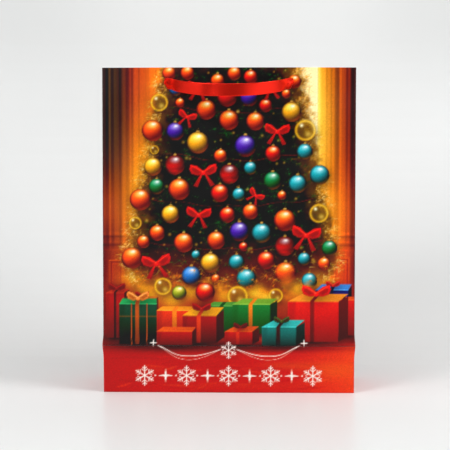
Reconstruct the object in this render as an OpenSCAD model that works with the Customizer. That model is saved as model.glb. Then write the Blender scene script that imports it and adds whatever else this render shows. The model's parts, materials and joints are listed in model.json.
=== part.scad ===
// Upright paper carrier bag with two ribbon handles.
// One scored and folded sheet of laminated paper, three stiffening cards and two satin ribbons.
// Frame: +Z up, origin at the middle of the base, X across the width, front face towards -Y.
// Every panel between two creases is a solid of its own, so each crease can act as a hinge.

/* [Bag] */
// Width of the bag across the front
bag_w = 310; // [240:1:380]
// Height of the bag
bag_h = 400; // [330:1:480]
// Depth of the side gussets
bag_d = 115; // [100:1:130]
// Thickness of the laminated paper
paper_t = 0.4; // [0.3:0.05:0.5]
// Height of the scored crease across the front face
crease_h = 58.5; // [58:0.5:62]

/* [Mouth] */
// Depth of the hem folded inside the mouth
hem_h = 42; // [36:1:60]
// Height of the stiffening card behind the handle holes
top_card_h = 34; // [28:1:36]
// Thickness of the stiffening card at the mouth
top_card_t = 0.7; // [0.4:0.1:0.8]

/* [Base] */
// Thickness of the loose card that lies in the base
base_card_t = 1.0; // [0.6:0.1:1.2]
// Length of each dust flap, measured in from the side
dust_flap_l = 46; // [30:1:60]
// Depth of the inner glue flap, measured in from the front
inner_flap_d = 34; // [20:1:36]

/* [Handles] */
// Distance between the two holes of one handle
hole_pitch = 155; // [120:1:165]
// Height of the handle holes above the table
hole_z = 385; // [375:1:386]
// Diameter of a handle hole
hole_d = 5; // [4.8:0.1:6]
// Width of the satin ribbon
ribbon_w = 15; // [10:1:16]
// Thickness of the ribbon
ribbon_t = 0.6; // [0.4:0.1:0.8]
// How far the ribbon loop stands out from the face
loop_out = 55; // [40:1:65]
// How far the loop droops below the level
loop_droop = 11.5; // [5:0.5:15]

/* [Hidden] */
$fn = 48;
xo = bag_w / 2;            // outer face of a side
xi = xo - paper_t;         // inner face of a side
yo = bag_d / 2;            // outer face of front or rear
yi = yo - paper_t;         // inner face of front or rear
gap = 0.05;                // room left along each crease
hem_side = 10;             // hem and card stop this far from a corner crease
gusset_hem_side = 12;      // the same on a gusset
pin_out = 2.5;             // the handle's hinge line in front of the face
eye_r = 1.8;               // half thickness of the gathered ribbon end
neck_r = 2.2;              // ribbon neck through the hole
card_z = 1.2;              // underside of the base card
loop_r = (pow(hole_pitch / 2, 2) + pow(loop_out, 2)) / (2 * loop_out);  // radius of the ribbon loop
band_hi = 2;               // upper edge of the band above the hinge plane
band_lo = band_hi - ribbon_w;
print_red = [0.72, 0.16, 0.08];
print_green = [0.14, 0.22, 0.10];
inside_white = [0.93, 0.92, 0.90];
card_grey = [0.80, 0.79, 0.76];
satin_red = [0.84, 0.06, 0.03];

// Flat box given by its two opposite corners
module span(a, b) { translate(a) cube([b[0] - a[0], b[1] - a[1], b[2] - a[2]]); }
// Panel with two handle holes, lying between y0 and y1
module holed(a, b) {
    difference() {
        span(a, b);
        for (s = [-1, 1]) translate([s * hole_pitch / 2, a[1] - 1, hole_z])
            rotate([-90, 0, 0]) cylinder(d = hole_d, h = b[1] - a[1] + 2);
    }
}
// Flat piece of a side wall: outline in (y, z), inner face at x, thickness th outwards
module side_piece(s, pts, x, th) {
    translate([s > 0 ? x : -x - th, 0, 0])
        rotate([90, 0, 90]) linear_extrude(height = th) polygon(pts);
}

module rear_panel() color(print_red) holed([-xo, yi, 0], [xo, yo, bag_h]);
module side_seam_flap() color(inside_white)
    span([-xi + 3, yi - paper_t, 4], [-xi + 19, yi, bag_h - hem_h - 1]);
module rear_top_hem() color(print_red) holed([-xi + hem_side, yi - paper_t, bag_h - hem_h], [xi - hem_side, yi, bag_h]);
module rear_top_card() color(card_grey)
    holed([-xi + hem_side + 1, yi - paper_t - top_card_t, bag_h - top_card_h - 1], [xi - hem_side - 1, yi - paper_t, bag_h - 1]);
module front_panel() color(print_green) holed([-xo, -yo, crease_h + gap], [xo, -yi, bag_h]);
module front_top_hem() color(print_red) holed([-xi + hem_side, -yi, bag_h - hem_h], [xi - hem_side, -yi + paper_t, bag_h]);
module front_top_card() color(card_grey)
    holed([-xi + hem_side + 1, -yi + paper_t, bag_h - top_card_h - 1], [xi - hem_side - 1, -yi + paper_t + top_card_t, bag_h - 1]);
module front_lower_panel() color(print_red) span([-xo, -yo, 0], [xo, -yi, crease_h - gap]);

// Rear half of a gusset: its lower edge is the diagonal crease that starts at the rear corner of the base
module gusset_rear(s) color(print_red)
    side_piece(s, [[yi - gap, 1.2], [yi - gap, bag_h], [gap, bag_h], [gap, yi - gap + 1.2]], xi, paper_t);
// Front half of a gusset, from the crease up
module gusset_front(s) color(print_red)
    side_piece(s, [[-yi + gap, crease_h + gap], [-gap, crease_h + gap], [-gap, bag_h], [-yi + gap, bag_h]], xi, paper_t);
module hem_rear(s) color(print_red)
    side_piece(s, [[4, bag_h - hem_h], [yi - gusset_hem_side, bag_h - hem_h], [yi - gusset_hem_side, bag_h], [4, bag_h]], xi - paper_t, paper_t);
module hem_front(s) color(print_red)
    side_piece(s, [[-yi + gusset_hem_side, bag_h - hem_h], [-4, bag_h - hem_h], [-4, bag_h], [-yi + gusset_hem_side, bag_h]], xi - paper_t, paper_t);
// Triangle between the front corner and the diagonal crease
module corner_fold(s) color(print_red)
    side_piece(s, [[-yi + gap, 1.2], [-yi + gap, crease_h - gap], [-yi + crease_h - 1.2 , crease_h - gap]], xi, paper_t);
// Triangle that stands on the end of the base, just inside the diagonal creases
module base_end(s) color(print_red)
    side_piece(s, [[-yi + 1.6, 0.5], [yi - 1.6, 0.5], [0, yi - 1.1]], xi - paper_t - 0.3, paper_t);

module bottom_panel() color(print_red) span([-xi + gap, -yi + 0.3, 0], [xi - gap, yi - gap, paper_t]);
module bottom_inner_flap() color(inside_white)
    span([-xi + 14, -yi + 2, paper_t], [xi - 14, -yi + inner_flap_d, 2 * paper_t]);
module dust_flap(s) color(inside_white)
    translate([0, 0, 2 * paper_t]) linear_extrude(height = paper_t)
        polygon([[s * (xi - 4), -yi + 14], [s * (xi - 4), yi - 12], [s * (xi - 4 - dust_flap_l), yi - 12 - dust_flap_l / 4],
                 [s * (xi - 4 - dust_flap_l), -yi + 14 + dust_flap_l / 4]]);
module bottom_card() color(card_grey) span([-xi + 8, -yi + 8, 3 * paper_t], [xi - 8, yi - 5, 3 * paper_t + base_card_t]);

// Ribbon loop about its hinge line, reaching out along -Y: a band of constant thickness that narrows to a gathered end
module loop() {
    difference() {
        intersection() {
            translate([0, loop_r - loop_out, band_lo]) difference() {
                cylinder(r = loop_r + ribbon_t / 2, h = ribbon_w, $fn = 160);
                translate([0, 0, -1]) cylinder(r = loop_r - ribbon_t / 2, h = ribbon_w + 2, $fn = 160);
            }
            translate([-bag_w / 2, 0, 0]) rotate([90, 0, 90]) linear_extrude(height = bag_w)
                polygon([[0.6, -eye_r], [-15, band_lo], [-loop_out - 5, band_lo], [-loop_out - 5, band_hi], [-15, band_hi], [0.6, eye_r]]);
        }
        for (s = [-1, 1]) translate([s * hole_pitch / 2 - 3, 0, 0]) rotate([0, 90, 0]) cylinder(r = eye_r - 0.4, h = 6);
    }
    for (s = [-1, 1]) translate([s * hole_pitch / 2 - 3, 0, 0]) rotate([0, 90, 0]) cylinder(r = eye_r, h = 6);
}
// Necks through the holes, with the knots and cut tails inside the bag, for the front face
module knots() {
    for (s = [-1, 1]) translate([s * hole_pitch / 2, 0, hole_z]) {
        translate([0, -yo - pin_out + eye_r + 0.1, 0]) rotate([-90, 0, 0]) cylinder(r = neck_r, h = pin_out - eye_r - 0.1 + 2 * paper_t + top_card_t + 1.2);
        translate([0, -yi + paper_t + top_card_t + 0.05, 0]) rotate([-90, 0, 0]) rotate_extrude()
            polygon([[0, 0], [4.2, 0], [5.4, 0.9], [5.8, 2.4], [5.4, 3.9], [4.2, 4.8], [0, 4.8]]);
        for (k = [-1, 1]) translate([k * 3.4, -yi + paper_t + top_card_t + 1.6 + (k > 0 ? 0.9 : 0), 0]) rotate([0, k * 9, 0])
            translate([-4, 0, -27]) cube([8, ribbon_t, 25]);
    }
}
module front_ribbon() color(satin_red) translate([0, -yo - pin_out, hole_z]) rotate([loop_droop, 0, 0]) loop();
module rear_ribbon() color(satin_red) rotate([0, 0, 180]) translate([0, -yo - pin_out, hole_z]) rotate([loop_droop, 0, 0]) loop();
module front_ribbon_knots() color(satin_red) knots();
module rear_ribbon_knots() color(satin_red) rotate([0, 0, 180]) knots();

rear_panel();
side_seam_flap();
rear_top_hem();
rear_top_card();
front_panel();
front_top_hem();
front_top_card();
front_lower_panel();
gusset_rear(-1);  // gusset_rear_left
gusset_rear(1);  // gusset_rear_right
gusset_front(-1);  // gusset_front_left
gusset_front(1);  // gusset_front_right
hem_rear(-1);  // hem_rear_left
hem_rear(1);  // hem_rear_right
hem_front(-1);  // hem_front_left
hem_front(1);  // hem_front_right
corner_fold(-1);  // corner_fold_left
corner_fold(1);  // corner_fold_right
base_end(-1);  // base_end_left
base_end(1);  // base_end_right
bottom_panel();
bottom_inner_flap();
dust_flap(-1);  // dust_flap_left
dust_flap(1);  // dust_flap_right
bottom_card();
front_ribbon();
front_ribbon_knots();
rear_ribbon();
rear_ribbon_knots();
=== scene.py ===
import json
import math
import bpy
import numpy as np
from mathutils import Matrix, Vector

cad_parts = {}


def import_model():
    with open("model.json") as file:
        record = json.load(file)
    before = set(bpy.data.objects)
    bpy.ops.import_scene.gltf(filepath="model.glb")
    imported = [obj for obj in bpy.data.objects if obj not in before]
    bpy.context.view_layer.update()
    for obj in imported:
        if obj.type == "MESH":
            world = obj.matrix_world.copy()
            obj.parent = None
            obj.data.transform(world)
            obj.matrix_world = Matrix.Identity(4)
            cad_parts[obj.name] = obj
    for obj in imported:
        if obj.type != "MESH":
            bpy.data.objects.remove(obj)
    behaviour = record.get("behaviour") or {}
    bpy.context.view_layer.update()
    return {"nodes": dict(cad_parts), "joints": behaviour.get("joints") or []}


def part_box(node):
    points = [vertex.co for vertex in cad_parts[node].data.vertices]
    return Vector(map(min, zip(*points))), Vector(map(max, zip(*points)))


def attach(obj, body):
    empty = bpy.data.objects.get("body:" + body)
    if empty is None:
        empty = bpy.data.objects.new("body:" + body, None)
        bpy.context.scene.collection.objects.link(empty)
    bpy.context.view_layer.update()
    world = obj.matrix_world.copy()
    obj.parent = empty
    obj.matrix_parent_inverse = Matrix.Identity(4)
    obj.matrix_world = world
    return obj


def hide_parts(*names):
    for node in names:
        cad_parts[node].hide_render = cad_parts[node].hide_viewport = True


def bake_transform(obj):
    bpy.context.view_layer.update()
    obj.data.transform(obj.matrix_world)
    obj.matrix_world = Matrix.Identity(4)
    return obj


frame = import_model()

# ---------------------------------------------------------------- sizes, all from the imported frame, in metres
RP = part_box("rear_panel")
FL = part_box("front_lower_panel")
XO = float(RP[1][0])                 # outer face of a side
YO = float(RP[1][1])                 # outer face of front or rear
HH = float(RP[1][2])                 # height of the bag
HC = float(FL[1][2]) + 0.00005       # height of the score line
T = float(FL[1][1] - FL[0][1])       # paper
HEM = HH - float(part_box("front_top_hem")[0][2])
W_MM, H_MM, D_MM = XO * 2000, HH * 1000, YO * 2000
HOLE = next(j for j in frame["joints"] if j["name"] == "front_handle_swing")
HZ = float(HOLE["pos_m"][2])
PIN = -float(HOLE["pos_m"][1])       # hinge line, in front of the middle plane
HX = 0.0775                          # half the distance between the holes


def smooth(e0, e1, x):
    t = np.clip((x - e0) / (e1 - e0), 0, 1)
    return t * t * (3 - 2 * t)


# ---------------------------------------------------------------- the print, painted in code
class Canvas:
    """A picture in millimetres, painted with soft shapes. Colours are display values from 0 to 1."""

    def __init__(self, w, h, s=2.0):
        self.w, self.h, self.s = w, h, s
        self.nx, self.ny = int(round(w * s)), int(round(h * s))
        self.a = np.zeros((self.ny, self.nx, 3), np.float32)
        self.X, self.Y = np.meshgrid((np.arange(self.nx) + 0.5) / s, (np.arange(self.ny) + 0.5) / s)
        self.X, self.Y = self.X.astype(np.float32), self.Y.astype(np.float32)

    def win(self, x0, x1, y0, y1):
        i0, i1 = max(0, int(x0 * self.s)), min(self.nx, int(x1 * self.s) + 2)
        j0, j1 = max(0, int(y0 * self.s)), min(self.ny, int(y1 * self.s) + 2)
        if i0 >= i1 or j0 >= j1:
            return None
        return slice(j0, j1), slice(i0, i1)

    def mix(self, k, m, col):
        m = m[..., None]
        self.a[k] = self.a[k] * (1 - m) + np.asarray(col, np.float32) * m

    def add(self, k, m, col):
        m = m[..., None]
        self.a[k] = 1 - (1 - self.a[k]) * (1 - np.clip(np.asarray(col, np.float32) * m, 0, 1))

    def glow(self, cx, cy, rx, ry, col, a=1.0):
        k = self.win(cx - 2.5 * rx, cx + 2.5 * rx, cy - 2.5 * ry, cy + 2.5 * ry)
        if k is None:
            return
        d = ((self.X[k] - cx) / rx) ** 2 + ((self.Y[k] - cy) / ry) ** 2
        self.add(k, a * np.exp(-d), col)

    def shade(self, cx, cy, rx, ry, a=0.6, col=(0.05, 0.02, 0.01)):
        k = self.win(cx - 2.5 * rx, cx + 2.5 * rx, cy - 2.5 * ry, cy + 2.5 * ry)
        if k is None:
            return
        d = ((self.X[k] - cx) / rx) ** 2 + ((self.Y[k] - cy) / ry) ** 2
        self.mix(k, np.clip(a * np.exp(-d), 0, 1), col)

    def line(self, p, q, w, col, a=1.0, w2=None, soft=0.35):
        w2 = w if w2 is None else w2
        m = max(w, w2) + soft + 0.5
        k = self.win(min(p[0], q[0]) - m, max(p[0], q[0]) + m, min(p[1], q[1]) - m, max(p[1], q[1]) + m)
        if k is None:
            return
        dx, dy = q[0] - p[0], q[1] - p[1]
        L = dx * dx + dy * dy + 1e-9
        t = np.clip(((self.X[k] - p[0]) * dx + (self.Y[k] - p[1]) * dy) / L, 0, 1)
        d = np.hypot(self.X[k] - p[0] - t * dx, self.Y[k] - p[1] - t * dy)
        self.mix(k, a * np.clip(((w + (w2 - w) * t) / 2 - d) / soft + 0.5, 0, 1), col)

    def poly(self, pts, col, a=1.0, soft=0.45, col2=None, axis=1, noise=None):
        """A convex outline; col to col2 along an axis of its box."""
        P = np.asarray(pts, float)
        area = np.sum(P[:, 0] * np.roll(P[:, 1], -1) - np.roll(P[:, 0], -1) * P[:, 1])
        if area < 0:
            P = P[::-1]
        lo, hi = P.min(0), P.max(0)
        k = self.win(lo[0] - 1, hi[0] + 1, lo[1] - 1, hi[1] + 1)
        if k is None:
            return
        d = np.full(self.X[k].shape, 1e9, np.float32)
        for (x0, y0), (x1, y1) in zip(P, np.roll(P, -1, 0)):
            l = math.hypot(x1 - x0, y1 - y0) + 1e-9
            d = np.minimum(d, ((x1 - x0) * (self.Y[k] - y0) - (y1 - y0) * (self.X[k] - x0)) / l)
        m = a * np.clip(d / soft + 0.5, 0, 1)
        c = np.asarray(col, np.float32)
        if col2 is not None:
            g = ((self.X[k] if axis == 0 else self.Y[k]) - lo[axis]) / max(hi[axis] - lo[axis], 1e-6)
            g = np.clip(g, 0, 1)[..., None]
            c = c * (1 - g) + np.asarray(col2, np.float32) * g
        self.mix(k, m, c)

    def path(self, pts, w, col, a=1.0, taper=False, soft=0.35):
        n = len(pts) - 1
        for i in range(n):
            k0 = k1 = 1.0
            if taper:
                k0, k1 = math.sin(math.pi * (i + 0.15) / (n + 0.3)) ** 0.6, math.sin(math.pi * (i + 1.15) / (n + 0.3)) ** 0.6
            self.line(pts[i], pts[i + 1], w * k0, col, a, w * k1, soft)

    def at(self, x, y):
        """Colours at points in millimetres, between the samples."""
        u = np.clip(np.asarray(x) * self.s - 0.5, 0, self.nx - 1.001)
        v = np.clip(np.asarray(y) * self.s - 0.5, 0, self.ny - 1.001)
        i, j = u.astype(int), v.astype(int)
        fu, fv = (u - i)[..., None], (v - j)[..., None]
        A = self.a
        return (A[j, i] * (1 - fu) + A[j, i + 1] * fu) * (1 - fv) + (A[j + 1, i] * (1 - fu) + A[j + 1, i + 1] * fu) * fv


def rgb(r, g, b):
    return (r / 255.0, g / 255.0, b / 255.0)


def field(c, rng, cell, amp=1.0):
    """Smooth noise over a canvas, from -amp to amp."""
    gx, gy = int(c.w / cell[0]) + 3, int(c.h / cell[1]) + 3
    g = rng.uniform(-1, 1, (gy, gx))
    u, v = c.X / cell[0], c.Y / cell[1]
    i, j = u.astype(int), v.astype(int)
    fu, fv = u - i, v - j
    fu, fv = fu * fu * (3 - 2 * fu), fv * fv * (3 - 2 * fv)
    return amp * ((g[j, i] * (1 - fu) + g[j, i + 1] * fu) * (1 - fv) + (g[j + 1, i] * (1 - fu) + g[j + 1, i + 1] * fu) * fv)


def grade(stops, t):
    """Colour along a list of (place, colour)."""
    xs = [s[0] for s in stops]
    return np.stack([np.interp(t, xs, [s[1][i] for s in stops]) for i in range(3)], -1).astype(np.float32)


def needles(c, rng, x, y, n, length, cols, spread=1.0, lean=0.0, w=0.55, a=0.8):
    base = rng.uniform(0, 6.28)
    for i in range(n):
        t = base + (i / n) * 6.283 * spread + rng.normal(0, 0.25)
        l = length * rng.uniform(0.5, 1.1)
        dx, dy = math.cos(t) * l + lean, math.sin(t) * l * 0.8 + 0.15 * l
        c.line((x, y), (x + dx, y + dy), w * rng.uniform(0.7, 1.3), cols[rng.integers(len(cols))], a * rng.uniform(0.5, 1), 0.15, 0.4)


def bauble(c, x, y, r, col, kind="gloss", cap=True):
    k = c.win(x - r - 3, x + r + 3, y - r - 3, y + r + 4)
    if k is None:
        return
    c.shade(x + r * 0.15, y + r * 0.35, r * 1.05, r * 1.0, 0.55)
    X, Y = (c.X[k] - x) / r, (c.Y[k] - y) / r
    d = np.hypot(X, Y)
    m = np.clip((1 - d) * r / 0.5 + 0.5, 0, 1)
    nz = np.sqrt(np.clip(1 - d * d, 0, 1))
    base = np.asarray(col, np.float32)
    if kind == "glass":
        ring = np.exp(-((d - 0.86) / 0.12) ** 2)
        inner = np.exp(-((X - 0.25) ** 2 + (Y - 0.35) ** 2) / 0.10)
        c.mix(k, m * 0.45, base * 0.55)
        c.add(k, m * ring * 0.75, base)
        c.add(k, m * inner * 0.6, (1.0, 0.8, 0.35))
        c.add(k, m * np.exp(-((X + 0.35) ** 2 + (Y + 0.45) ** 2) / 0.03), (1.0, 0.95, 0.75))
        return
    lit = np.clip(-0.35 * X - 0.62 * Y + 0.70 * nz, 0, 1)
    tone = 0.26 + 0.96 * lit
    edge = 1 - 0.45 * smooth(0.72, 1.0, d)
    shaded = base * (tone * edge)[..., None]
    warm = np.clip((0.25 * X + 0.8 * Y - 0.20), 0, 1) * smooth(0.45, 0.95, d)
    shaded = shaded + warm[..., None] * np.asarray((0.62, 0.22, 0.03), np.float32)
    c.mix(k, m, np.clip(shaded, 0, 1))
    if kind == "dark":
        c.mix(k, m * smooth(0.25, -0.45, Y) * 0.75, base * 0.30)
        c.add(k, m * np.exp(-(X ** 2 / 0.22 + (Y - 0.62) ** 2 / 0.03)) * 0.6, base)
    top = np.exp(-((X + 0.02) ** 2 / 0.26 + (Y + 0.50) ** 2 / 0.11))
    c.add(k, m * top * (0.95 if kind == "gloss" else 0.55), (1.0, 0.74, 0.36) if kind == "gloss" else (0.86, 0.9, 1.0))
    c.add(k, m * np.exp(-((X - 0.10) ** 2 / 0.05 + (Y + 0.60) ** 2 / 0.016)) * 0.95, (1.0, 0.97, 0.90))
    if cap:
        c.poly([(x - r * 0.14, y - r * 1.14), (x + r * 0.14, y - r * 1.14), (x + r * 0.17, y - r * 0.93), (x - r * 0.17, y - r * 0.93)],
               rgb(230, 180, 90), 0.9, 0.4, rgb(140, 90, 30))
        c.line((x, y - r * 1.14), (x + r * 0.05, y - r * 1.34), 0.35, rgb(220, 170, 90), 0.6)


def bow(c, x, y, s, col=(0.86, 0.09, 0.05), turn=0.0, dark=(0.36, 0.02, 0.02), tails=True):
    def P(u, v):
        ct, st = math.cos(turn), math.sin(turn)
        return (x + s * (u * ct - v * st), y + s * (u * st + v * ct))
    col = np.asarray(col, float)
    c.shade(x + 0.8, y + 1.5, s * 0.95, s * 0.7, 0.35)
    if tails:
        for q in (-1, 1):
            c.poly([P(0.04 * q, 0.02), P(0.20 * q, 0.10), P(0.78 * q, 0.92), P(0.46 * q, 1.04)], col * 0.95, 0.97, 0.4, col * 0.62)
            c.line(P(0.12 * q, 0.1), P(0.58 * q, 0.95), 0.1 * s * 0.3, np.clip(col * 1.25 + 0.1, 0, 1), 0.6, 0.2)
    for q in (-1, 1):
        c.poly([P(0, 0.10), P(0, -0.12), P(0.45 * q, -0.50), P(0.92 * q, -0.62), P(1.0 * q, -0.30), P(0.88 * q, 0.02), P(0.42 * q, 0.20)],
               np.clip(col * 1.08, 0, 1), 0.98, 0.45, col * 0.72)
        c.poly([P(0.22 * q, -0.05), P(0.60 * q, -0.36), P(0.84 * q, -0.38), P(0.80 * q, -0.16), P(0.46 * q, 0.04)], dark, 0.42, 0.9)
        c.line(P(0.10 * q, -0.12), P(0.84 * q, -0.55), 0.10 * s, np.clip(col * 1.2 + 0.14, 0, 1), 0.7, 0.05 * s)
    k = c.win(x - s * 0.3, x + s * 0.3, y - s * 0.3, y + s * 0.3)
    if k is not None:
        d = np.hypot((c.X[k] - x) / (0.17 * s), (c.Y[k] - y) / (0.19 * s))
        c.mix(k, np.clip((1 - d) * 2 + 0.3, 0, 1), np.clip(col * 1.05, 0, 1))
        c.add(k, np.exp(-(((c.X[k] - x + 0.04 * s) / (0.07 * s)) ** 2 + ((c.Y[k] - y + 0.07 * s) / (0.05 * s)) ** 2)) * 0.5, (1, 0.6, 0.5))


def present(c, x, y, w, h, top, face, lid, ribbon=None, side=0.0, bowcol=None, bow_s=8.0, dark=0.55, vertical=True, across=None):
    """A wrapped box: x, y is the front face's top left; top is the depth of the lid as seen, side the width of the side face."""
    face, lid = np.asarray(face, float), np.asarray(lid, float)
    c.shade(x + w / 2, y + h, w * 0.62, 4.5, 0.75)
    sk = top * 0.55
    if side:
        c.poly([(x + w, y), (x + w + side, y - top * 0.7), (x + w + side, y + h - top * 0.7), (x + w, y + h)], face * 0.45, 1, 0.4, face * 0.28)
    c.poly([(x, y), (x + w, y), (x + w, y + h), (x, y + h)], np.clip(face * 1.05, 0, 1), 1, 0.4, face * dark)
    c.poly([(x, y), (x + w, y), (x + w + side, y - top), (x + side + sk, y - top)], lid, 1, 0.4, np.clip(lid * 0.86, 0, 1), 0)
    c.line((x, y), (x + w, y), 0.7, np.clip(lid * 1.15 + 0.08, 0, 1), 0.8)
    c.poly([(x, y), (x + w * 0.16, y), (x + w * 0.10, y + h), (x, y + h)], face * 0.6, 0.35, 3.0)
    if ribbon is not None:
        rb = np.asarray(ribbon, float)
        wr = min(5.0, w * 0.12)
        if vertical:
            cx = x + w * 0.48
            c.poly([(cx - wr / 2, y), (cx + wr / 2, y), (cx + wr / 2, y + h), (cx - wr / 2, y + h)], np.clip(rb * 1.1, 0, 1), 0.95, 0.4, rb * 0.6)
            c.poly([(cx - wr / 2, y), (cx + wr / 2, y), (cx + wr / 2 + side * 0.5 + sk * 0.4, y - top), (cx - wr / 2 + side * 0.5 + sk * 0.4, y - top)], rb, 0.95, 0.4)
        if across:
            for yy in across:
                c.line((x, y + h * yy), (x + w, y + h * yy), 1.1, rb, 0.9)
        if bowcol is not None:
            bow(c, x + w * 0.50 + side * 0.3, y - top * 0.5 - bow_s * 0.25, bow_s, bowcol, 0.0, tails=False)


def snowflake(c, x, y, r, w, col, a=1.0, arms=6, turn=0.0):
    for i in range(arms):
        t = turn + i * 2 * math.pi / arms
        ux, uy = math.cos(t), math.sin(t)
        c.line((x, y), (x + r * ux, y + r * uy), w, col, a)
        for f, l in ((0.45, 0.34), (0.72, 0.24)):
            for q in (-1, 1):
                v = t + q * math.pi / 3.4
                c.line((x + r * f * ux, y + r * f * uy), (x + r * f * ux + r * l * math.cos(v), y + r * f * uy + r * l * math.sin(v)), w * 0.8, col, a)


def star(c, x, y, r, col, a=1.0, pts=4):
    for i in range(pts):
        t = i * math.pi / pts * 2 / 1 - math.pi / 2
        c.line((x, y), (x + r * math.cos(t), y + r * math.sin(t)), r * 0.34, col, a, 0.12)


def paint_front(seed=11):
    rng = np.random.default_rng(seed)
    c = Canvas(W_MM, H_MM)
    X, Y = c.X, c.Y
    # room: wood columns at both sides, glowing towards the tree
    tone = grade([(0, rgb(74, 50, 32)), (14, rgb(96, 66, 42)), (24, rgb(86, 46, 24)), (34, rgb(140, 44, 14)), (50, rgb(214, 78, 12)), (70, rgb(244, 116, 14)),
                  (150, rgb(240, 140, 30)), (236, rgb(255, 170, 40)), (262, rgb(250, 190, 96)), (268, rgb(240, 140, 36)), (284, rgb(186, 82, 26)), (296, rgb(160, 58, 20)), (303, rgb(120, 40, 14)), (310, rgb(58, 22, 14))], X)
    low = grade([(0, rgb(104, 30, 16)), (25, rgb(190, 66, 20)), (60, rgb(244, 90, 10)), (150, rgb(244, 104, 14)), (250, rgb(250, 120, 18)), (280, rgb(240, 78, 16)), (300, rgb(186, 48, 22)), (310, rgb(74, 22, 14))], X)
    f = smooth(60, 215, Y)[..., None]
    c.a[:] = tone * (1 - f) + low * f
    g = np.zeros(c.nx)
    for w_, amp in ((40, 0.06), (110, 0.07), (240, 0.05)):
        g = g + np.interp(np.arange(c.nx), np.linspace(0, c.nx, w_), rng.uniform(-amp, amp, w_))
    c.a *= (1 + g)[None, :, None]
    for x, w_, k in ((6, 2.2, 0.55), (8.8, 0.9, 1.5), (12.5, 2.0, 0.62), (22, 1.6, 0.6), (26, 3.0, 1.15), (31, 2.2, 0.62), (37, 1.2, 0.7), (45, 1.0, 0.8), (265.5, 1.2, 1.18), (274, 1.1, 0.82), (280, 1.0, 0.80), (287, 2.8, 0.62), (291, 1.4, 1.25), (299, 1.6, 0.66), (305.5, 2.6, 0.5)):
        m = np.exp(-((X - x) / w_) ** 4) * smooth(228, 205, Y)
        c.a *= (1 + (k - 1) * m)[..., None]
    c.a *= (1 - 0.26 * smooth(34, 20, X) * smooth(250, 200, Y))[..., None]
    # window
    m = smooth(238, 243, X) * smooth(264, 261, X) * smooth(150, 60, Y)
    c.mix((slice(None), slice(None)), 0.80 * m, rgb(255, 232, 178))
    c.mix((slice(None), slice(None)), 0.5 * np.exp(-((X - 262.5) / 0.8) ** 2) * smooth(120, 60, Y), rgb(255, 246, 214))
    for q in range(10):
        c.glow(rng.uniform(236, 258), rng.uniform(4, 56), rng.uniform(3, 7), rng.uniform(5, 12), rgb(230, 240, 190), 0.12)
    # dado rail and panels behind the tree
    for y, h_, k in ((203, 2.2, 1.30), (206.5, 1.4, 0.60), (213, 1.0, 1.2), (217, 1.6, 0.66), (223, 1.0, 1.15)):
        m = np.exp(-((Y - y) / h_) ** 2) * (smooth(42, 20, X) + smooth(268, 285, X))
        c.a = np.clip(c.a * (1 + (k - 1) * m)[..., None], 0, 1)
    for x0, x1, y0, y1 in ((8, 24, 236, 268), (284, 303, 232, 282)):
        for d_, cc in ((0, rgb(236, 84, 34)), (2.4, rgb(110, 22, 12)), (4.2, rgb(216, 60, 26))):
            c.path([(x0 + d_, y1 - d_), (x0 + d_, y0 + d_), (x1 - d_, y0 + d_), (x1 - d_, y1 - d_)], 0.9, cc, 0.65)
    c.mix((slice(None), slice(None)), 0.40 * smooth(230, 300, Y) * (smooth(26, 6, X) + smooth(288, 306, X)), rgb(120, 20, 12))
    # red floor
    fl = grade([(0, rgb(186, 24, 14)), (60, rgb(196, 30, 16)), (150, rgb(196, 30, 16)), (230, rgb(206, 38, 18)), (290, rgb(230, 58, 20)), (310, rgb(236, 66, 22))], X)
    fm = smooth(330, 343, Y)
    c.mix((slice(None), slice(None)), fm, fl)
    c.mix((slice(None), slice(None)), 0.78 * smooth(256, 276, Y) * smooth(345, 330, Y), rgb(120, 28, 12))
    c.glow(150, 272, 120, 18, rgb(255, 96, 6), 0.62)
    for _ in range(90):
        x, y = rng.uniform(0, 310), rng.uniform(343, 398)
        l = rng.uniform(14, 46)
        s_ = rng.uniform(-0.16, 0.05)
        p = [(x + l * t, y + l * s_ * t + 2.2 * math.sin(2.2 * t + x)) for t in np.linspace(0, 1, 6)]
        dark = rng.random() < 0.48
        c.path(p, rng.uniform(0.8, 3.0), rgb(150, 16, 12) if dark else rgb(250, 92, 40), rng.uniform(0.08, 0.24), True, 1.6)
    for cx, cy, rx, ry, k in ((70, 346, 60, 6, 0.40), (128, 343, 110, 5, 0.55), (200, 345, 70, 5, 0.36), (260, 342, 56, 5, 0.40), (12, 340, 22, 5, 0.4)):
        c.shade(cx, cy, rx, ry, k, rgb(70, 8, 8))
    for cx, cy, rx, ry, k in ((230, 366, 38, 5, 0.2), (60, 372, 36, 7, 0.12), (286, 372, 26, 10, 0.22), (150, 392, 90, 5, 0.10)):
        c.glow(cx, cy, rx, ry, rgb(255, 120, 60), k)
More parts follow.
